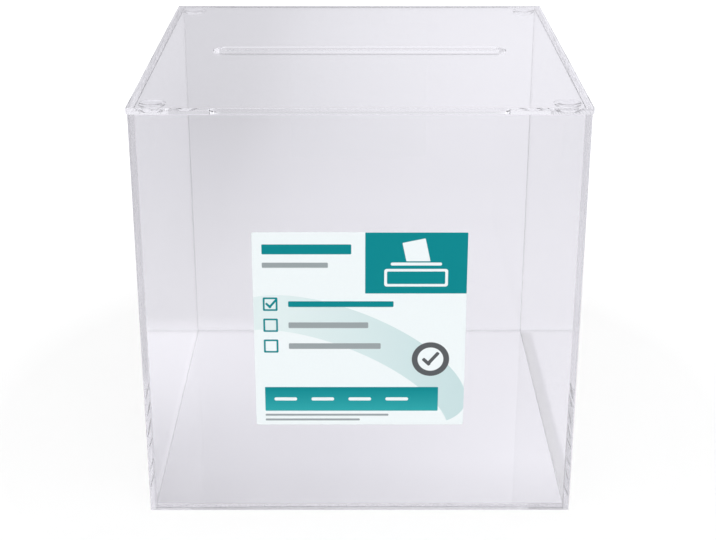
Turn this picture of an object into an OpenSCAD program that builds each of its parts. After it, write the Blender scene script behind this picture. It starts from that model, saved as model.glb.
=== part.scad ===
/* [Box] */
// Outside width of the walls, side to side
body_w = 210; // [180:1:320]
// Outside depth of the walls, front to back
body_d = 210; // [120:1:320]
// Height of the walls, without the lid
body_h = 207; // [185:1:350]
// Thickness of the sheet that the four walls are cut from
wall_t = 3; // [2:0.5:5]
// Thickness of the sheet that the base is cut from
base_t = 3; // [2:0.5:6]
// Thickness of the cement between two glued sheets
seam_t = 0.1; // [0.05:0.05:0.3]
// Width of the polished bevel along each open sheet edge
edge_bevel = 0.3; // [0.1:0.1:0.6]

/* [Lid] */
// Thickness of the sheet that the lid is cut from
lid_t = 3; // [2:0.5:5]
// How far the lid reaches past the walls on every side
lid_overhang = 0.75; // [0:0.25:3]
// Radius of the lid's four corners
lid_corner_r = 1.2; // [1:0.1:6]
// Air gap between the wall rims and the lid that lies on them
lid_rest_gap = 0.1; // [0:0.05:0.3]
// Length of the slot from end to end
slot_l = 151; // [60:1:160]
// Width of the slot
slot_w = 14; // [6:0.5:30]

/* [Lid studs] */
// Diameter of a stud
stud_d = 12.7; // [8:0.1:16]
// Height of a stud
stud_h = 3; // [2:0.1:5]
// Height of the straight skirt below the stud's dome
stud_skirt = 0.5; // [0.2:0.1:1]
// Gap between a stud and each of the two walls beside it
stud_gap = 0.8; // [0.3:0.1:2]

/* [Label] */
// Width of the paper label
label_w = 101; // [60:1:120]
// Height of the paper label
label_h = 101; // [60:1:120]
// Thickness of the paper label
label_t = 0.15; // [0.1:0.05:0.4]
// Distance from the top of the wall down to the label
label_drop = 57; // [20:1:60]

/* [Hidden] */

$fn = 96;

// A cutter runs this far past the face that it opens
overrun = 1;

// Clear space between opposite walls
inner_w = body_w - 2 * wall_t;
inner_d = body_d - 2 * wall_t;

// The side walls stand between the front and rear walls, a seam away from each
side_l = inner_d - 2 * seam_t;

// The base lies inside all four walls, a seam away from each
base_w = inner_w - 2 * seam_t;
base_d = inner_d - 2 * seam_t;

// The lid lies on the wall rims
lid_w = body_w + 2 * lid_overhang;
lid_d = body_d + 2 * lid_overhang;
lid_z = body_h + lid_rest_gap;
slot_r = slot_w / 2;
slot_run = slot_l - slot_w;

// A stud stands inside the corner that two walls make
stud_r = stud_d / 2;
stud_x = inner_w / 2 - stud_gap - stud_r;
stud_y = inner_d / 2 - stud_gap - stud_r;
dome_h = stud_h - stud_skirt;
dome_r = (stud_r * stud_r + dome_h * dome_h) / (2 * dome_h);

acrylic = [0.86, 0.90, 0.93, 0.35];
cement = [0.95, 0.97, 1.00, 0.60];
bumper = [0.80, 0.84, 0.88, 0.60];
paper = [0.93, 0.97, 0.98];

// Wall section in its own thickness (x, outer face at 0) and height (y).
// The rim is bevelled on both sides and the foot on the outside only.
module wall_section() {
  polygon([
    [edge_bevel, 0],
    [wall_t, 0],
    [wall_t, body_h - edge_bevel],
    [wall_t - edge_bevel, body_h],
    [edge_bevel, body_h],
    [0, body_h - edge_bevel],
    [0, edge_bevel]
  ]);
}

// Rectangle centred on the origin with its four corners cut off at 45 degrees
module cut_corner_rectangle(w, h, c) {
  polygon([
    [-w / 2 + c, -h / 2],
    [w / 2 - c, -h / 2],
    [w / 2, -h / 2 + c],
    [w / 2, h / 2 - c],
    [w / 2 - c, h / 2],
    [-w / 2 + c, h / 2],
    [-w / 2, h / 2 - c],
    [-w / 2, -h / 2 + c]
  ]);
}

// Rectangle centred on the origin with round corners
module round_corner_rectangle(w, h, r) {
  square([w - 2 * r, h], center = true);
  square([w, h - 2 * r], center = true);
  for (x = [-1, 1], y = [-1, 1])
    translate([x * (w / 2 - r), y * (h / 2 - r)])
      circle(r);
}

// Wall that covers the side walls' edges, as it stands at the front.
// Its two upright outer edges are bevelled as well as its rim and foot.
module full_width_wall() {
  intersection() {
    translate([-body_w / 2, -body_d / 2, 0])
      rotate([90, 0, 90])
        linear_extrude(body_w)
          wall_section();
    linear_extrude(body_h)
      polygon([
        [-body_w / 2 + edge_bevel, -body_d / 2],
        [body_w / 2 - edge_bevel, -body_d / 2],
        [body_w / 2, -body_d / 2 + edge_bevel],
        [body_w / 2, -inner_d / 2],
        [-body_w / 2, -inner_d / 2],
        [-body_w / 2, -body_d / 2 + edge_bevel]
      ]);
  }
}

// Slice of side wall section, as it stands at the left, from y0 to y1
module side_wall_run(y0, y1) {
  translate([-body_w / 2, y1, 0])
    rotate([90, 0, 0])
      linear_extrude(y1 - y0)
        wall_section();
}

module base_panel() {
  color(acrylic)
    translate([-base_w / 2, -base_d / 2, 0])
      cube([base_w, base_d, base_t]);
}

module front_panel() {
  color(acrylic)
    full_width_wall();
}

module rear_panel() {
  color(acrylic)
    mirror([0, 1, 0])
      full_width_wall();
}

module left_panel() {
  color(acrylic)
    side_wall_run(-side_l / 2, side_l / 2);
}

module right_panel() {
  color(acrylic)
    mirror([1, 0, 0])
      side_wall_run(-side_l / 2, side_l / 2);
}

// Cement between the front wall and the front edge of the left wall
module upright_seam() {
  color(cement)
    side_wall_run(-inner_d / 2, -side_l / 2);
}

module seam_front_left() {
  upright_seam();
}

module seam_front_right() {
  mirror([1, 0, 0])
    upright_seam();
}

module seam_rear_left() {
  mirror([0, 1, 0])
    upright_seam();
}

module seam_rear_right() {
  rotate([0, 0, 180])
    upright_seam();
}

// Cement along the front and rear edges of the base, the full inner width
module seam_base_front() {
  color(cement)
    translate([-inner_w / 2, -inner_d / 2, 0])
      cube([inner_w, seam_t, base_t]);
}

module seam_base_rear() {
  mirror([0, 1, 0])
    seam_base_front();
}

// Cement along the side edges of the base, between the two longer seams
module seam_base_left() {
  color(cement)
    translate([-inner_w / 2, -base_d / 2, 0])
      cube([seam_t, base_d, base_t]);
}

module seam_base_right() {
  mirror([1, 0, 0])
    seam_base_left();
}

module label() {
  color(paper)
    translate([-label_w / 2, -body_d / 2 - label_t, body_h - label_drop - label_h])
      cube([label_w, label_t, label_h]);
}

// Slot section across its width (x) and through the lid (y), with both mouths bevelled
module slot_section() {
  wide = slot_r + edge_bevel;
  polygon([
    [-slot_r, edge_bevel],
    [-wide - overrun, -overrun],
    [wide + overrun, -overrun],
    [slot_r, edge_bevel],
    [slot_r, lid_t - edge_bevel],
    [wide + overrun, lid_t + overrun],
    [-wide - overrun, lid_t + overrun],
    [-slot_r, lid_t - edge_bevel]
  ]);
}

// Cutter for the slot: a straight run with a turned end at each side
module slot_cutter() {
  translate([-slot_run / 2, 0, 0])
    rotate([90, 0, 90])
      linear_extrude(slot_run)
        slot_section();
  for (x = [-1, 1])
    translate([x * slot_run / 2, 0, 0])
      rotate_extrude()
        intersection() {
          slot_section();
          translate([0, -2 * overrun])
            square([slot_w, lid_t + 4 * overrun]);
        }
}

module lid_panel() {
  color(acrylic)
    translate([0, 0, lid_z])
      difference() {
        intersection() {
          linear_extrude(lid_t)
            round_corner_rectangle(lid_w, lid_d, lid_corner_r);
          translate([-lid_w / 2, 0, lid_t / 2])
            rotate([90, 0, 90])
              linear_extrude(lid_w)
                cut_corner_rectangle(lid_d, lid_t, edge_bevel);
          translate([0, lid_d / 2, lid_t / 2])
            rotate([90, 0, 0])
              linear_extrude(lid_d)
                cut_corner_rectangle(lid_w, lid_t, edge_bevel);
        }
        slot_cutter();
      }
}

// Stud glued under the lid: a short straight skirt and a shallow dome that points down
module lid_stud(side, end) {
  color(bumper)
    translate([side * stud_x, end * stud_y, lid_z - stud_h])
      intersection() {
        cylinder(h = stud_h, r = stud_r);
        translate([0, 0, dome_r])
          sphere(dome_r);
      }
}

module lid_stud_front_left() {
  lid_stud(-1, -1);
}

module lid_stud_front_right() {
  lid_stud(1, -1);
}

module lid_stud_rear_left() {
  lid_stud(-1, 1);
}

module lid_stud_rear_right() {
  lid_stud(1, 1);
}

base_panel();
front_panel();
rear_panel();
left_panel();
right_panel();
seam_front_left();
seam_front_right();
seam_rear_left();
seam_rear_right();
seam_base_front();
seam_base_rear();
seam_base_left();
seam_base_right();
label();
lid_panel();
lid_stud_front_left();
lid_stud_front_right();
lid_stud_rear_left();
lid_stud_rear_right();
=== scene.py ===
import math
import random

import bmesh
import bpy
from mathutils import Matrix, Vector


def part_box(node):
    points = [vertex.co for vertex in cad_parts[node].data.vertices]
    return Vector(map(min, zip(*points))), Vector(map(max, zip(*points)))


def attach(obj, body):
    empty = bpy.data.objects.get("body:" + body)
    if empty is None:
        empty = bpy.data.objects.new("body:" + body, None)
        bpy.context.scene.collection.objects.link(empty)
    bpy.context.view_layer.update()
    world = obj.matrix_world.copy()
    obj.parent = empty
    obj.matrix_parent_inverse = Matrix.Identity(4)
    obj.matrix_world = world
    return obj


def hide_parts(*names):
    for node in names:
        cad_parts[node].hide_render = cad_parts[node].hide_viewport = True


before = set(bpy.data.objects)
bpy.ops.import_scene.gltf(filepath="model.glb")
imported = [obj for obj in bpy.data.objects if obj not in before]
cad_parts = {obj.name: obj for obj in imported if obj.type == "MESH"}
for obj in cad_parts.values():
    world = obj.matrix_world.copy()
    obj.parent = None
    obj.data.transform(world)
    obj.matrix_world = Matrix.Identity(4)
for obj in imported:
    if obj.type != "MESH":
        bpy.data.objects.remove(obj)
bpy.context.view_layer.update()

# Clear sheets: the base and the four walls, sawn from clear cast acrylic and flame polished along
# every open edge. They keep the frame's own shape and get the look of new sheet: a trace of cool
# tint, a slow ripple from casting and the faint haze that hands leave.
MM = 0.001
WALL_PANELS = ("base_panel", "front_panel", "rear_panel", "left_panel", "right_panel")
SHEET_TINT = (0.972, 0.970, 0.972)
SHEET_IOR = 1.49
CLOUD_SHADE = 0.985
CLOUDS_PER_METRE = 14.0
HAZE_PER_METRE = 60.0
HAZE_BAND = (0.45, 0.75)
HAZE_ROUGHNESS = 0.008
RIPPLES_PER_METRE = 18.0
RIPPLE_HEIGHT = 0.003 * MM
FACE_LOSS = 0.99


def node_adder(tree):
    """The function that adds one node to this emptied tree, with its inputs set or linked."""
    tree.nodes.clear()

    def add(kind, inputs=None, **settings):
        node = tree.nodes.new(kind)
        for key, value in settings.items():
            setattr(node, key, value)
        for key, value in (inputs or {}).items():
            if isinstance(value, bpy.types.NodeSocket):
                tree.links.new(value, node.inputs[key])
            else:
                node.inputs[key].default_value = value
        return node

    return add


def start_finish(name):
    """A material with no nodes yet, and the function that adds its nodes."""
    material = bpy.data.materials.new(name)
    material.use_nodes = True
    return material, node_adder(material.node_tree)


def shaded(colour, factor):
    """The colour times factor, as the four numbers that a colour input takes."""
    return tuple(channel * factor for channel in colour) + (1.0,)


def any_ray(add, path, *kinds):
    """1 where the ray is one of these kinds, else 0."""
    total = path.outputs[kinds[0]]
    for kind in kinds[1:]:
        total = add("ShaderNodeMath", {
            0: total,
            1: path.outputs[kind],
        }, operation="MAXIMUM").outputs[0]
    return total


def clear_plastic(name, tint, ior, ripple_height):
    """Clear plastic that bends light for the eye and lets lamps through with its tint."""
    material, add = start_finish(name)
    place = add("ShaderNodeTexCoord").outputs["Object"]
    cloud = add("ShaderNodeTexNoise", {"Vector": place, "Scale": CLOUDS_PER_METRE, "Detail": 2.0})
    colour = add("ShaderNodeMix", {
        "Factor": cloud.outputs["Fac"],
        "A": shaded(tint, CLOUD_SHADE),
        "B": shaded(tint, 1.0),
    }, data_type="RGBA")
    touch = add("ShaderNodeTexNoise", {"Vector": place, "Scale": HAZE_PER_METRE, "Detail": 5.0})
    rough = add("ShaderNodeMapRange", {
        "Value": touch.outputs["Fac"],
        "From Min": HAZE_BAND[0],
        "From Max": HAZE_BAND[1],
        "To Min": 0.0,
        "To Max": HAZE_ROUGHNESS,
    })
    ripple = add("ShaderNodeTexNoise", {"Vector": place, "Scale": RIPPLES_PER_METRE, "Detail": 0.0})
    wavy = add("ShaderNodeBump", {
        "Height": ripple.outputs["Fac"],
        "Distance": ripple_height,
        "Strength": 1.0,
    })
    glass = add("ShaderNodeBsdfPrincipled", {
        "Base Color": colour.outputs["Result"],
        "Roughness": rough.outputs["Result"],
        "IOR": ior,
        "Transmission Weight": 1.0,
        "Normal": wavy.outputs["Normal"],
    })
    straight = add("ShaderNodeBsdfTransparent", {
        "Color": shaded([math.sqrt(channel) for channel in tint], FACE_LOSS),
    })
    lit = any_ray(add, add("ShaderNodeLightPath"), "Is Shadow Ray", "Is Diffuse Ray")
    both = add("ShaderNodeMixShader", {0: lit, 1: glass.outputs[0], 2: straight.outputs[0]})
    add("ShaderNodeOutputMaterial", {"Surface": both.outputs[0]})
    return material


def dress(node, material):
    """The frame's own node takes this material in place of its plain one."""
    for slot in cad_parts[node].material_slots:
        slot.material = material


acrylic = clear_plastic("clear_acrylic", SHEET_TINT, SHEET_IOR, RIPPLE_HEIGHT)
for panel in WALL_PANELS:
    dress(panel, acrylic)

# Cement: a thin solvent cement, run into each joint while the box stood on its foot. It is clear
# where it wetted both faces. Low down on the front uprights it dried too soon and left unwetted
# streaks that slant down and outwards from the inner edge. Their grey is painted shade, standing
# in for the light that the streaks' edges scatter away.
SINK = 0.02 * MM
FILM_BEVEL = 0.3 * MM
STREAK_TOP = 71 * MM
STREAK_FOOT = 7 * MM
STREAK_PITCH = (6.0 * MM, 12.0 * MM)
STREAK_LENGTH = (5.0 * MM, 12.0 * MM)
STREAK_WIDTH = (0.5 * MM, 1.0 * MM)
STREAK_LEAN = (0.5, 0.8)
STREAK_RAGGED = (0.6, 1.0)
STREAK_START = 0.88
STREAK_LIMITS = (0.1, 0.97)
STREAK_SIDES = 16
STREAK_RISE = 0.01 * MM
CEMENT_TINT = (0.975, 0.974, 0.976)
# painted shade: the grey that the unwetted streaks show
STREAK_SHADE_GREY = (0.46, 0.46, 0.48)
STREAK_SHADES = (0.8, 1.2)
STREAK_COVER = (0.3, 0.8)
SPECKS_PER_METRE = 900.0
SPECK_BAND = (0.3, 0.7)
CLEAR_FILM, DRIED_FILM = 0, 1


def new_piece(name, mesh, body, slot, nodes, *materials):
    """The mesh as a piece that rides on body, takes these finishes and stands for these nodes."""
    piece = bpy.data.objects.new(name, mesh)
    bpy.context.scene.collection.objects.link(piece)
    for material in materials:
        mesh.materials.append(material)
    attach(piece, body)
    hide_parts(*nodes)


def streak(rng, top, width):
    """Outline of a dried streak: a ragged leaf from the inner edge that runs down and outwards."""
    length = rng.uniform(*STREAK_LENGTH)
    half = rng.uniform(*STREAK_WIDTH) / 2
    lean = rng.uniform(*STREAK_LEAN) * width
    points = []
    for i in range(STREAK_SIDES):
        turn = 2 * math.pi * i / STREAK_SIDES
        along = (1 - math.cos(turn)) / 2
        ragged = rng.uniform(*STREAK_RAGGED)
        across = width * STREAK_START - lean * along + half * ragged * math.sin(turn)
        across = min(max(across, STREAK_LIMITS[0] * width), STREAK_LIMITS[1] * width)
        points.append((across, top - length * along))
    return points


def add_prism(bm, outline, start, end, place, finish):
    """A slab from a flat outline, from start to end across its plane, with its finish's number."""
    near = [bm.verts.new(place(across, along, start)) for across, along in outline]
    far = [bm.verts.new(place(across, along, end)) for across, along in outline]
    sides = zip(near, near[1:] + near[:1], far[1:] + far[:1], far)
    faces = [bm.faces.new(near), bm.faces.new(far[::-1])]
    faces += [bm.faces.new((d, c, b, a)) for a, b, c, d in sides]
    for face in faces:
        face.material_index = finish


def mesh_from(bm, name):
    """The finished mesh of this name, with its faces turned outwards."""
    bmesh.ops.recalc_face_normals(bm, faces=bm.faces)
    mesh = bpy.data.meshes.new(name)
    bm.to_mesh(mesh)
    bm.free()
    return mesh


def dried_cement_painted_shade():
    """Cement that dried before it wetted the sheets: painted shade in a cloudy grey, thin in places.
    """
    material, add = start_finish("dried_cement_painted_shade")
    place = add("ShaderNodeTexCoord").outputs["Object"]
    cloud = add("ShaderNodeTexNoise", {"Vector": place, "Scale": SPECKS_PER_METRE, "Detail": 3.0})
    cover = add("ShaderNodeMapRange", {
        "Value": cloud.outputs["Fac"],
        "From Min": SPECK_BAND[0],
        "From Max": SPECK_BAND[1],
        "To Min": STREAK_COVER[0],
        "To Max": STREAK_COVER[1],
    })
    grey = add("ShaderNodeMix", {
        "Factor": cloud.outputs["Fac"],
        "A": shaded(STREAK_SHADE_GREY, STREAK_SHADES[0]),
        "B": shaded(STREAK_SHADE_GREY, STREAK_SHADES[1]),
    }, data_type="RGBA")
    # painted shade of the streaks, partly covering them
    painted_streak_shade = add("ShaderNodeBsdfDiffuse", {"Color": grey.outputs["Result"]})
    gap = add("ShaderNodeBsdfTransparent", {"Color": shaded(CEMENT_TINT, 1.0)})
    both = add("ShaderNodeMixShader", {
        0: cover.outputs[0],
        1: gap.outputs[0],
        2: painted_streak_shade.outputs[0],
    })
    add("ShaderNodeOutputMaterial", {"Surface": both.outputs[0]})
    return material


cement = clear_plastic("solvent_cement", CEMENT_TINT, SHEET_IOR, RIPPLE_HEIGHT)
dried = dried_cement_painted_shade()


def upright_film(side, end):
    """Cement between a side wall's upright edge and the front or rear wall."""
    name = f"seam_{end}_{side}"
    low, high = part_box(name)
    width, height = high.x - low.x, high.z - low.z

    def place(across, along, through):
        """A point of the joint, across it from the wall's outer face."""
        x = low.x + across if side == "left" else high.x - across
        return x, low.y + through, low.z + along

    outline = [
        (FILM_BEVEL, SINK),
        (width, SINK),
        (width, height - FILM_BEVEL),
        (width - FILM_BEVEL, height - SINK),
        (FILM_BEVEL, height - SINK),
        (SINK, height - FILM_BEVEL),
        (SINK, FILM_BEVEL),
    ]
    start, stop = -SINK, high.y - low.y + SINK
    bm = bmesh.new()
    add_prism(bm, outline, start, stop, place, CLEAR_FILM)
    start, stop = start - STREAK_RISE, stop + STREAK_RISE
    rng = random.Random(name)
    top = STREAK_TOP
    while end == "front" and top > STREAK_FOOT + STREAK_LENGTH[0]:
        add_prism(bm, streak(rng, top, width), start, stop, place, DRIED_FILM)
        top -= rng.uniform(*STREAK_PITCH)
    finishes = (cement, dried) if end == "front" else (cement,)
    film = name + "_film"
    new_piece(film, mesh_from(bm, film), "box", "cement", (name,), *finishes)


def base_film(side):
    """Cement between one edge of the base and the wall beside it."""
    name = f"seam_base_{side}"
    low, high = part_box(name)
    along_x = side in ("front", "rear")
    length = high.x - low.x if along_x else high.y - low.y
    thickness = high.y - low.y if along_x else high.x - low.x
    height = high.z - low.z

    def place(across, along, through):
        """A point of the joint, across it along the base's edge."""
        if along_x:
            return low.x + across, low.y + through, low.z + along
        return low.x + through, low.y + across, low.z + along

    outline = [(0, SINK), (length, SINK), (length, height), (0, height)]
    bm = bmesh.new()
    add_prism(bm, outline, -SINK, thickness + SINK, place, CLEAR_FILM)
    film = name + "_film"
    new_piece(film, mesh_from(bm, film), "box", "cement", (name,), cement)


for side in ("left", "right"):
    for end in ("front", "rear"):
        upright_film(side, end)
for side in ("front", "rear", "left", "right"):
    base_film(side)

# Label: a square of coated paper with a flat print of its own, stuck all over to the outside of
# the front wall. Its die-cut corners are barely rounded, and its plain back shows through the wall
# from inside.
CORNER_RADIUS = 0.6 * MM
CORNER_STEPS = 6
GLUE_DEPTH = 0.01 * MM
PAPER = (0.875, 0.930, 0.945)
PAPER_GRAIN = 0.03
PAPER_RELIEF = 0.01 * MM
PAPER_ROUGHNESS = (0.5, 0.6)
FIBRES_PER_MM = 0.9
FRONTWARD = -0.5
TEAL = (0.002, 0.245, 0.275)
LIGHT_TEAL = (0.030, 0.385, 0.410)
SWASH = (0.590, 0.745, 0.760)
SWASH_PALE = (0.760, 0.860, 0.865)
RING_GREY = (0.105, 0.112, 0.120)
LINE_GREY = (0.330, 0.370, 0.385)
INK_EDGE = 0.12
INK_DEPTH = 1000.0
label_low, label_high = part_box("label")


class Print:
    """Inks laid one over another, in millimetres right of (x) and above (z) the label's middle."""

    def __init__(self, add, place, colour):
        self.add = add
        self.place = place
        self.colour = colour

    def offset(self, x, z, tilt):
        """The way from (x, z) to each point, turned back by tilt degrees."""
        way = self.add("ShaderNodeVectorMath", {
            0: self.place,
            1: (x, 0, z),
        }, operation="SUBTRACT").outputs[0]
        if tilt:
            way = self.add("ShaderNodeVectorRotate", {
                "Vector": way,
                "Angle": math.radians(tilt),
            }, rotation_type="Y_AXIS").outputs[0]
        return way

    def within(self, way, reach):
        """1 where the way is shorter than reach, with a soft edge, else 0."""
        distance = self.add("ShaderNodeVectorMath", {0: way}, operation="LENGTH")
        return self.add("ShaderNodeMapRange", {
            "Value": distance.outputs["Value"],
            "From Min": reach - INK_EDGE,
            "From Max": reach + INK_EDGE,
            "To Min": 1.0,
            "To Max": 0.0,
        }, interpolation_type="SMOOTHSTEP").outputs[0]

    def patch(self, x, z, width, height, corner, tilt=0.0):
        """Where a rectangle with round corners lies."""
        core = (width / 2 - corner, INK_DEPTH, height / 2 - corner)
        way = self.offset(x, z, tilt)
        way = self.add("ShaderNodeVectorMath", {0: way}, operation="ABSOLUTE").outputs[0]
        way = self.add("ShaderNodeVectorMath", {0: way, 1: core}, operation="SUBTRACT").outputs[0]
        way = self.add("ShaderNodeVectorMath", {0: way, 1: (0, 0, 0)}, operation="MAXIMUM").outputs[0]
        return self.within(way, corner)

    def disc(self, x, z, radius, squash=1.0, tilt=0.0):
        """Where a disc lies, or an ellipse that is squash times as tall as it is wide."""
        way = self.add("ShaderNodeVectorMath", {
            0: self.offset(x, z, tilt),
            1: (1.0, 0.0, 1.0 / squash),
        }, operation="MULTIPLY").outputs[0]
        return self.within(way, radius)

    def less(self, whole, cut):
        """The first area without the second."""
        kept = self.add("ShaderNodeMath", {0: 1.0, 1: cut}, operation="SUBTRACT").outputs[0]
        return self.add("ShaderNodeMath", {0: whole, 1: kept}, operation="MULTIPLY").outputs[0]

    def ink(self, area, colour):
        """Lays a colour over the print so far in this area."""
        self.colour = self.add("ShaderNodeMix", {
            "Factor": area,
            "A": self.colour,
            "B": colour if isinstance(colour, bpy.types.NodeSocket) else shaded(colour, 1.0),
        }, data_type="RGBA").outputs["Result"]

    def fade(self, axis, start, end, first, last):
        """A colour that runs from first to last between two places along x or z."""
        parts = self.add("ShaderNodeSeparateXYZ", {"Vector": self.place})
        share = self.add("ShaderNodeMapRange", {
            "Value": parts.outputs[axis],
            "From Min": start,
            "From Max": end,
        })
        return self.add("ShaderNodeMix", {
            "Factor": share.outputs[0],
            "A": shaded(first, 1.0),
            "B": shaded(last, 1.0),
        }, data_type="RGBA").outputs["Result"]


def label_print(add, place, paper):
    """The print, from the first ink to the last: patches as x, z, width, height, corner, tilt."""
    art = Print(add, place, paper)

    # a pale sweep behind everything
    sweep = art.less(art.disc(-6, -16, 62, 0.42, -24), art.disc(-14, -34, 62, 0.42, -24))
    art.ink(sweep, art.fade("X", -40, 45, SWASH_PALE, SWASH))

    # a teal head with a slip over a slotted box, and two bars beside it
    art.ink(art.patch(26.5, 35.0, 48, 31, 0.4), TEAL)
    art.ink(art.patch(26.5, 40.5, 11, 12, 0.4, 12), PAPER)
    art.ink(art.patch(26.5, 31.5, 34, 9, 0.3), TEAL)
    art.ink(art.patch(26.5, 34.6, 24, 1.5, 0.7), PAPER)
    hollow = art.less(art.patch(26.5, 27.6, 30, 9, 1.2), art.patch(26.5, 27.6, 27.4, 6.4, 0.6))
    art.ink(hollow, PAPER)
    art.ink(art.patch(-25.0, 42.0, 42, 5.0, 0.5), TEAL)
    art.ink(art.patch(-30.5, 34.0, 31, 2.6, 0.4), LINE_GREY)

    # three rows to tick, the first of them ticked
    for row, length in enumerate((50, 38, 44)):
        z = 14.0 - 11.0 * row
        square = art.less(art.patch(-42.5, z, 7, 7, 0.6), art.patch(-42.5, z, 5.2, 5.2, 0.3))
        art.ink(square, TEAL)
        art.ink(art.patch(-34.0 + length / 2, z, length, 3.0, 0.5), TEAL if row == 0 else LINE_GREY)
    art.ink(art.patch(-43.4, 13.3, 3.4, 1.1, 0.4, -45), TEAL)
    art.ink(art.patch(-41.2, 14.4, 6.0, 1.1, 0.4, 50), TEAL)

    # a tick in a grey ring
    art.ink(art.disc(34.0, -15.0, 9.0), RING_GREY)
    art.ink(art.disc(34.0, -15.0, 6.2), PAPER)
    art.ink(art.patch(32.0, -16.4, 4.8, 1.7, 0.6, -45), RING_GREY)
    art.ink(art.patch(35.2, -14.6, 8.2, 1.7, 0.6, 50), RING_GREY)

    # a teal band with four dashes, and two thin bars under it
    art.ink(art.patch(-4.0, -36.5, 84, 13, 0.4), art.fade("Z", -43, -30, LIGHT_TEAL, TEAL))
    for x in (-36, -18, 0, 18):
        art.ink(art.patch(x, -36.5, 11, 1.7, 0.8), PAPER)
    for row, length in enumerate((60, 46)):
        art.ink(art.patch(-46.0 + length / 2, -45.2 - 2.6 * row, length, 1.1, 0.4), LINE_GREY)
    return art.colour


def paper_finish():
    """Coated paper with a faint grain, printed on the side that faces away from the box."""
    material, add = start_finish("printed_paper")
    middle = (label_low + label_high) / 2 / MM
    here = add("ShaderNodeTexCoord").outputs["Object"]
    place = add("ShaderNodeMapping", {
        "Vector": here,
        "Location": -middle,
        "Scale": (1 / MM,) * 3,
    }).outputs[0]
    fibre = add("ShaderNodeTexNoise", {
        "Vector": place,
        "Scale": FIBRES_PER_MM,
        "Detail": 6.0,
        "Roughness": 0.7,
    })
    paper = add("ShaderNodeMix", {
        "Factor": fibre.outputs["Fac"],
        "A": shaded(PAPER, 1 - PAPER_GRAIN),
        "B": shaded(PAPER, 1 + PAPER_GRAIN),
    }, data_type="RGBA").outputs["Result"]
    normal = add("ShaderNodeNewGeometry").outputs["True Normal"]
    facing = add("ShaderNodeSeparateXYZ", {"Vector": normal})
    outside = add("ShaderNodeMath", {0: facing.outputs["Y"], 1: FRONTWARD}, operation="LESS_THAN")
    colour = add("ShaderNodeMix", {
        "Factor": outside.outputs[0],
        "A": paper,
        "B": label_print(add, place, paper),
    }, data_type="RGBA").outputs["Result"]
    rough = add("ShaderNodeMapRange", {
        "Value": fibre.outputs["Fac"],
        "To Min": PAPER_ROUGHNESS[0],
        "To Max": PAPER_ROUGHNESS[1],
    })
    grain = add("ShaderNodeBump", {
        "Height": fibre.outputs["Fac"],
        "Distance": PAPER_RELIEF,
        "Strength": 0.5,
    })
    sheet = add("ShaderNodeBsdfPrincipled", {
        "Base Color": colour,
        "Roughness": rough.outputs[0],
        "Normal": grain.outputs[0],
        "Specular IOR Level": 0.1,
    })
    add("ShaderNodeOutputMaterial", {"Surface": sheet.outputs[0]})
    return material


def label_mesh():
    """The sheet of paper, with its back just inside the surface of the wall."""
    corners = (
        (label_high.x - CORNER_RADIUS, label_high.z - CORNER_RADIUS),
        (label_low.x + CORNER_RADIUS, label_high.z - CORNER_RADIUS),
        (label_low.x + CORNER_RADIUS, label_low.z + CORNER_RADIUS),
        (label_high.x - CORNER_RADIUS, label_low.z + CORNER_RADIUS),
    )
    bm = bmesh.new()
    outline = []
    for quarter, (x, z) in enumerate(corners):
        for step in range(CORNER_STEPS + 1):
            turn = math.radians(90 * (quarter + step / CORNER_STEPS))
            outline.append(bm.verts.new((
                x + CORNER_RADIUS * math.cos(turn),
                label_low.y,
                z + CORNER_RADIUS * math.sin(turn),
            )))
    face = bm.faces.new(outline)
    made = bmesh.ops.extrude_face_region(bm, geom=[face])["geom"]
    back = [part for part in made if isinstance(part, bmesh.types.BMVert)]
    bmesh.ops.translate(bm, vec=(0, label_high.y - label_low.y + GLUE_DEPTH, 0), verts=back)
    return mesh_from(bm, "label_sheet")


new_piece("label_sheet", label_mesh(), "box", "label_paper", ("label",), paper_finish())

# Lid: one more sheet of the same acrylic, cut a little larger than the walls, with a long
# round-ended slot milled through it and every edge polished. It lies loose on the walls' rims and
# keeps the frame's own shape.
dress("lid_panel", acrylic)

# Lid studs: four clear bumper pads of soft plastic, stuck under the lid's corners just inside the
# walls, so that the loose lid can't slide off. Each has a short straight skirt and a shallow dome
# that points down, and its flat back is sunk a hair into the lid.
STUD_TINT = (0.960, 0.959, 0.964)
STUD_IOR = 1.50
STUD_SKIRT = 0.5 * MM
STUD_STEPS = 16
STUD_SIDES = 64
STUD_SMOOTH = 0.2
stud_plastic = clear_plastic("clear_stud_plastic", STUD_TINT, STUD_IOR, 0.0)


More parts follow.
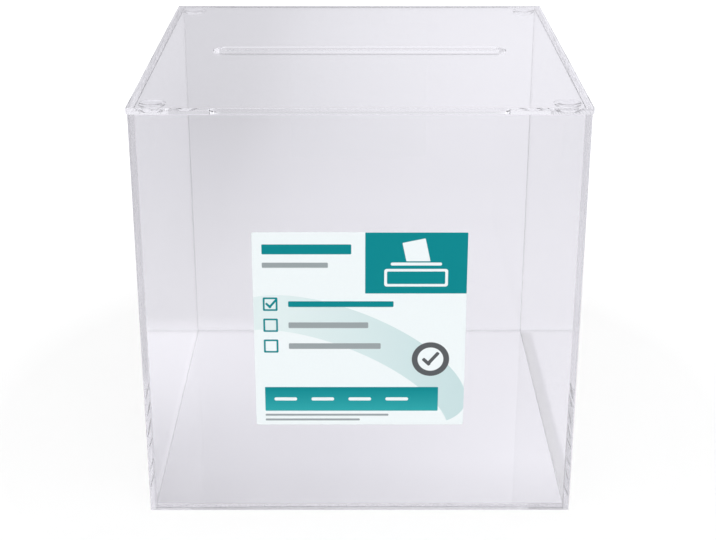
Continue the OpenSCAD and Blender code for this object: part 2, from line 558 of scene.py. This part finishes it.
def stud_piece(name):
    """A pad turned from its profile: back, skirt, then a dome that is part of a larger ball."""
    low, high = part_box(name)
    centre = (low + high) / 2
    radius = (high.x - low.x) / 2
    height = high.z - low.z
    dome = height - STUD_SKIRT
    ball = (radius * radius + dome * dome) / (2 * dome)
    profile = [(radius, high.z + SINK), (radius, high.z - STUD_SKIRT)]
    widest = math.asin(radius / ball)
    for step in range(1, STUD_STEPS):
        turn = widest * (1 - step / STUD_STEPS)
        profile.append((ball * math.sin(turn), low.z + ball - ball * math.cos(turn)))
    bm = bmesh.new()
    rings = []
    for reach, z in profile:
        ring = []
        for k in range(STUD_SIDES):
            turn = 2 * math.pi * k / STUD_SIDES
            x = centre.x + reach * math.cos(turn)
            y = centre.y + reach * math.sin(turn)
            ring.append(bm.verts.new((x, y, z)))
        rings.append(ring)
    for upper, lower in zip(rings, rings[1:]):
        for k in range(STUD_SIDES):
            n = (k + 1) % STUD_SIDES
            bm.faces.new((upper[k], upper[n], lower[n], lower[k]))
    tip = bm.verts.new((centre.x, centre.y, low.z))
    for k in range(STUD_SIDES):
        bm.faces.new((rings[-1][k], rings[-1][(k + 1) % STUD_SIDES], tip))
    bm.faces.new(rings[0])
    bm.normal_update()
    for face in bm.faces:
        face.smooth = len(face.verts) < 5 and abs(face.normal.z) > STUD_SMOOTH
    pad = name + "_pad"
    new_piece(pad, mesh_from(bm, pad), "lid", "clear_stud", (name,), stud_plastic)


for end in ("front", "rear"):
    for side in ("left", "right"):
        stud_piece(f"lid_stud_{end}_{side}")

# Table: a plain matt white top that reaches past every view. To the eye it is plain white with the
# box's faint shadow. In the clear sheets it glows pale lavender grey with painted light and shade:
# darker to the left and far off, with a painted light line along the left wall's foot and a painted
# shadow along the right wall's.
TABLE_DROP = 0.15 * MM
TABLE_RADIUS = 6.0
TABLE_SIDES = 96
TABLE_WHITE = 0.42
TABLE_FAR_WHITE = 0.12
TABLE_GREYS = (0.42, 0.85)
TABLE_LIGHT = 1.40
ROOM_TINT = (0.951, 0.944, 1.0)
TABLE_NEAR, TABLE_FAR = -1.2, 1.2
# painted light and shade: a falloff of the glow along the table, left and right of the box, dimmest
# in front and brightest under the box
TABLE_LEFT = (
    (-1.2, 0.30), (-0.5, 0.45), (-0.2, 0.64), (-0.1, 0.71), (-0.06, 0.82), (0.03, 1.08),
    (0.095, 1.18), (0.13, 0.93), (0.4, 0.88), (0.6, 0.81), (1.2, 0.82),
)
TABLE_RIGHT = (
    (-1.2, 0.40), (-0.5, 0.60), (-0.2, 0.80), (-0.1, 0.93), (-0.06, 1.08), (0.03, 1.05),
    (0.095, 1.06), (0.13, 1.02), (0.4, 1.02), (0.6, 1.05), (1.2, 1.05),
)
# painted light and shade: how the glow blends from the left levels to the right ones across the table
ACROSS_LOW, ACROSS_HIGH = -0.2, 0.2
ACROSS = (
    (-0.14, 0.0), (-0.11, 0.05), (-0.055, 0.5), (0.0, 0.77), (0.055, 0.92), (0.12, 1.0),
)
# painted light line beside the left wall's foot and painted shadow beside the right wall's, in the
# glow only
WALL_LOW, WALL_HIGH = -0.125, 0.125
WALL_REACH = 0.104
WALL_SHADE = (
    (-0.1085, 1.0), (-0.1075, 1.15), (-0.1060, 1.35), (-0.1050, 1.25), (-0.1049, 1.0),
    (0.1049, 1.0), (0.1050, 0.25), (0.1065, 0.32), (0.1085, 0.50), (0.1115, 0.62), (0.1130, 1.0),
)
TABLE_SEEN = (1.02, 1.25)
TABLE_FADE = (0.2, 0.7)


def level_curve(add, value, low, high, stops):
    """A level that follows stops of (value, level) as value goes from low to high."""
    share = add("ShaderNodeMapRange", {"Value": value, "From Min": low, "From Max": high})
    curve = add("ShaderNodeValToRGB", {"Fac": share.outputs[0]})
    points = curve.color_ramp.elements
    while len(points) < len(stops):
        points.new(0.5)
    top = max(1.0, *(level for _, level in stops))
    for point, (place, level) in zip(points, stops):
        point.position = (place - low) / (high - low)
        point.color = (level / top, level / top, level / top, 1.0)
    return add("ShaderNodeMath", {
        0: curve.outputs["Color"],
        1: top,
    }, operation="MULTIPLY").outputs[0]


def table_finish():
    """Matt white that glows: plain white to the eye, pale grey with painted light and shade in the
    sheets.
    """
    material, add = start_finish("table_top")
    path = add("ShaderNodeLightPath")
    here = add("ShaderNodeTexCoord").outputs["Object"]
    place = add("ShaderNodeSeparateXYZ", {"Vector": here})
    level = add("ShaderNodeMix", {
        "Factor": level_curve(add, place.outputs["X"], ACROSS_LOW, ACROSS_HIGH, ACROSS),
        "A": level_curve(add, place.outputs["Y"], TABLE_NEAR, TABLE_FAR, TABLE_LEFT),
        "B": level_curve(add, place.outputs["Y"], TABLE_NEAR, TABLE_FAR, TABLE_RIGHT),
    }).outputs[0]
    beside = add("ShaderNodeMath", {
        0: place.outputs["Y"],
        1: 0.0,
        2: WALL_REACH,
    }, operation="COMPARE").outputs[0]
    # painted light and shadow beside the walls' feet
    shade = add("ShaderNodeMix", {
        "Factor": beside,
        "A": 1.0,
        "B": level_curve(add, place.outputs["X"], WALL_LOW, WALL_HIGH, WALL_SHADE),
    }).outputs[0]
    level = add("ShaderNodeMath", {0: level, 1: shade}, operation="MULTIPLY").outputs[0]
    reach = add("ShaderNodeVectorMath", {0: here}, operation="LENGTH").outputs["Value"]
    white = add("ShaderNodeMapRange", {
        "Value": reach,
        "From Min": TABLE_GREYS[0],
        "From Max": TABLE_GREYS[1],
        "To Min": TABLE_WHITE,
        "To Max": TABLE_FAR_WHITE,
    }).outputs[0]
    lit = add("ShaderNodeMath", {0: white, 1: TABLE_LIGHT}, operation="MULTIPLY").outputs[0]
    tinted = add("ShaderNodeVectorMath", {0: ROOM_TINT, "Scale": level}, operation="SCALE").outputs[0]
    # painted light and shade: the glow that the clear sheets pass and mirror
    glow = add("ShaderNodeVectorMath", {0: tinted, 1: lit}, operation="SUBTRACT").outputs[0]
    glow = add("ShaderNodeVectorMath", {0: glow, 1: (0, 0, 0)}, operation="MAXIMUM").outputs[0]
    seen = add("ShaderNodeMapRange", {
        "Value": reach,
        "From Min": TABLE_FADE[0],
        "From Max": TABLE_FADE[1],
        "To Min": TABLE_SEEN[0] - TABLE_WHITE * TABLE_LIGHT,
        "To Max": TABLE_SEEN[1] - TABLE_FAR_WHITE,
    }).outputs[0]
    shown = add("ShaderNodeMix", {
        "Factor": path.outputs["Is Camera Ray"],
        "A": glow,
        "B": add("ShaderNodeCombineXYZ", {"X": seen, "Y": seen, "Z": seen}).outputs[0],
    }, data_type="VECTOR").outputs[1]
    strength = any_ray(add, path, "Is Camera Ray", "Is Glossy Ray", "Is Transmission Ray")
    matt = add("ShaderNodeBsdfDiffuse", {
        "Color": add("ShaderNodeCombineXYZ", {"X": white, "Y": white, "Z": white}).outputs[0],
    })
    light = add("ShaderNodeEmission", {"Color": shown, "Strength": strength})
    both = add("ShaderNodeAddShader", {0: matt.outputs[0], 1: light.outputs[0]})
    add("ShaderNodeOutputMaterial", {"Surface": both.outputs[0]})
    return material


bpy.ops.mesh.primitive_circle_add(
    vertices=TABLE_SIDES,
    radius=TABLE_RADIUS,
    fill_type="NGON",
    location=(0, 0, -TABLE_DROP),
)
table = bpy.context.object
table.name = "table"
table.data.materials.append(table_finish())

# Room: a plain pale room, all white to the eye. The clear sheets pass and mirror it as lavender
# grey in broad steps, with a dark doorway high up on the left and a small bright window on either
# side, which the polished edges catch. The levels go by the direction that a ray looks in.
ROOM_ACROSS = (
    (-1.0, 0.85), (-0.8, 0.92), (-0.55, 1.02), (-0.3, 0.85),
    (-0.12, 0.73), (0.12, 0.95), (0.3, 1.0), (1.0, 0.88),
)
ROOM_RISE = ((0.0, 1.0), (0.3, 1.0), (0.42, 0.97), (1.0, 0.97))
ROOM_ALONG = (
    (-1.0, 0.7), (-0.9, 0.72), (-0.2, 0.95), (0.1, 1.0),
    (0.35, 1.4), (0.75, 1.4), (0.92, 1.0), (1.0, 1.0),
)
ROOM_MOST = 1.12
LAMP_SKY = 0.84
WINDOW_WAYS = ((-0.88, -0.30, 0.37), (0.88, -0.30, 0.37))
WINDOW_REACH = (0.14, 0.20)
WINDOW_LEVEL = 0.9
DOOR_WAY = (-0.72, 0.20, 0.66)
DOOR_REACH = (0.20, 0.32)
DOOR_DARK = 0.35


def round_patch(add, look, middle, reach, inside, outside):
    """The level inside where a ray looks near the middle, else the level outside, softly parted."""
    apart = add("ShaderNodeVectorMath", {0: look, 1: middle}, operation="DISTANCE")
    return add("ShaderNodeMapRange", {
        "Value": apart.outputs["Value"],
        "From Min": reach[0],
        "From Max": reach[1],
        "To Min": inside,
        "To Max": outside,
    }, interpolation_type="SMOOTHSTEP").outputs[0]


world = bpy.data.worlds.new("studio")
bpy.context.scene.world = world
world.use_nodes = True
add = node_adder(world.node_tree)
look = add("ShaderNodeTexCoord").outputs["Generated"]
parts = add("ShaderNodeSeparateXYZ", {"Vector": look})
rise = level_curve(add, parts.outputs["Z"], 0.0, 1.0, ROOM_RISE)
across = level_curve(add, parts.outputs["X"], -1.0, 1.0, ROOM_ACROSS)
along = level_curve(add, parts.outputs["Y"], -1.0, 1.0, ROOM_ALONG)
level = add("ShaderNodeMath", {0: across, 1: along}, operation="MULTIPLY")
level = add("ShaderNodeMath", {0: level.outputs[0], 1: rise}, operation="MULTIPLY")
level = add("ShaderNodeMath", {0: level.outputs[0], 1: ROOM_MOST}, operation="MINIMUM")
door = round_patch(add, look, DOOR_WAY, DOOR_REACH, DOOR_DARK, 1.0)
level = add("ShaderNodeMath", {0: level.outputs[0], 1: door}, operation="MULTIPLY")
for window_way in WINDOW_WAYS:
    window = round_patch(add, look, window_way, WINDOW_REACH, WINDOW_LEVEL, 0.0)
    level = add("ShaderNodeMath", {0: level.outputs[0], 1: window})
path = add("ShaderNodeLightPath")
plain = add("ShaderNodeBackground", {"Color": (1.0, 1.0, 1.0, 1.0), "Strength": 1.0})
room = add("ShaderNodeBackground", {"Color": ROOM_TINT + (1.0,), "Strength": level.outputs[0]})
lamps = add("ShaderNodeBackground", {"Color": (1.0, 1.0, 1.0, 1.0), "Strength": LAMP_SKY})
mirrored = any_ray(add, path, "Is Glossy Ray", "Is Transmission Ray")
either = add("ShaderNodeMixShader", {0: mirrored, 1: lamps.outputs[0], 2: room.outputs[0]})
either = add("ShaderNodeMixShader", {
    0: path.outputs["Is Camera Ray"],
    1: either.outputs[0],
    2: plain.outputs[0],
})
add("ShaderNodeOutputWorld", {"Surface": either.outputs[0]})

# Softboxes: three flat soft lamps, a large one above and in front of the box and one on either
# side. They light the label and the table and lay the box's shadow. The sheets don't mirror them,
# because a bright reflection would hide the lid and the base from the sides.
LAMP_AIM = Vector((0, 0, 0.1))


def softbox(name, place, size, power):
    """A flat rectangular lamp that faces the box and isn't mirrored in the sheets."""
    lamp = bpy.data.lights.new(name, "AREA")
    lamp.shape = "RECTANGLE"
    lamp.size, lamp.size_y = size
    lamp.energy = power
    stand = bpy.data.objects.new(name, lamp)
    bpy.context.scene.collection.objects.link(stand)
    stand.location = place
    stand.rotation_mode = "QUATERNION"
    stand.rotation_quaternion = (LAMP_AIM - Vector(place)).to_track_quat("-Z", "Y")
    stand.visible_glossy = False
    stand.visible_transmission = False


softbox("softbox_right", (1.4, -0.25, 0.60), (1.1, 1.0), 3.6)
softbox("softbox_left", (-1.4, -0.25, 0.60), (0.8, 0.8), 2.8)
softbox("softbox_top", (0.2, -1.0, 1.5), (2.2, 1.8), 23)

# Camera: a still camera that stood 0.73 m in front of the box's middle and 0.39 m above the table,
# upright and tilted down. Its lens is shifted a little, so that the box lies in the picture where
# the photograph has it. Light is followed through the many faces of the clear sheets.
CAMERA_PLACE = Vector((-1.3, -729.3, 394.2)) * MM
CAMERA_PITCH = 21.43
CAMERA_YAW = -0.04
FOCAL_PIXELS = 1442.3
PICTURE_WIDTH, PICTURE_HEIGHT = 716, 540
AXIS_ROW = 234
SENSOR_WIDTH = 36
NEAREST_SEEN = 0.01
BOUNCES = 64
view = bpy.data.cameras.new("photo_view")
camera = bpy.data.objects.new("photo_view", view)
bpy.context.scene.collection.objects.link(camera)
view.sensor_width = SENSOR_WIDTH
view.lens = FOCAL_PIXELS / PICTURE_WIDTH * view.sensor_width
view.shift_y = (AXIS_ROW - PICTURE_HEIGHT / 2) / PICTURE_WIDTH
view.clip_start = NEAREST_SEEN
camera.location = CAMERA_PLACE
camera.rotation_euler = (math.radians(90 - CAMERA_PITCH), 0, math.radians(CAMERA_YAW))
scene = bpy.context.scene
scene.camera = camera
scene.view_settings.view_transform = "Standard"
scene.cycles.max_bounces = BOUNCES
scene.cycles.transmission_bounces = BOUNCES
scene.cycles.glossy_bounces = BOUNCES
scene.cycles.transparent_max_bounces = BOUNCES

bpy.context.view_layer.update()
